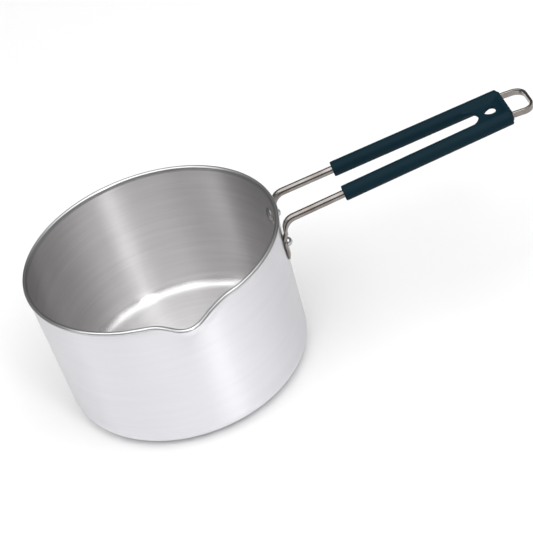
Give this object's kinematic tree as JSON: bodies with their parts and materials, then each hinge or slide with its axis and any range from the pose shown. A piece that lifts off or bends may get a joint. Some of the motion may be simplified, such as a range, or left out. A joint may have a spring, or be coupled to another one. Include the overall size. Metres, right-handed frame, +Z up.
{
  "type": "candle melting pot",
  "caption": "Round metal melting pot with a pour lip and a riveted wire handle, which carries a moulded grip and ends in a flat hanging loop.",
  "frame": {"origin": "centre of the pot's flat resting face", "axes": "+Z up along the pot's axis, +X along the handle away from the pot, and the pour lip towards -Y"},
  "size_m": [0.3234, 0.1723, 0.1138],
  "materials": {
    "pot_aluminium": "spun and brushed round the axis inside, satin outside",
    "wire_steel": "bright plated wire, worn satin on the hanging loop",
    "grip_plastic": "dark teal moulded plastic with a soft sheen",
    "rivet_aluminium": "bright headed rivet"
  },
  "bodies": {
    "root": {"pot_body": "pot_aluminium", "handle_wire": "wire_steel", "grip": "grip_plastic", "left_rivet": "rivet_aluminium", "right_rivet": "rivet_aluminium"}
  },
  "joints": []
}
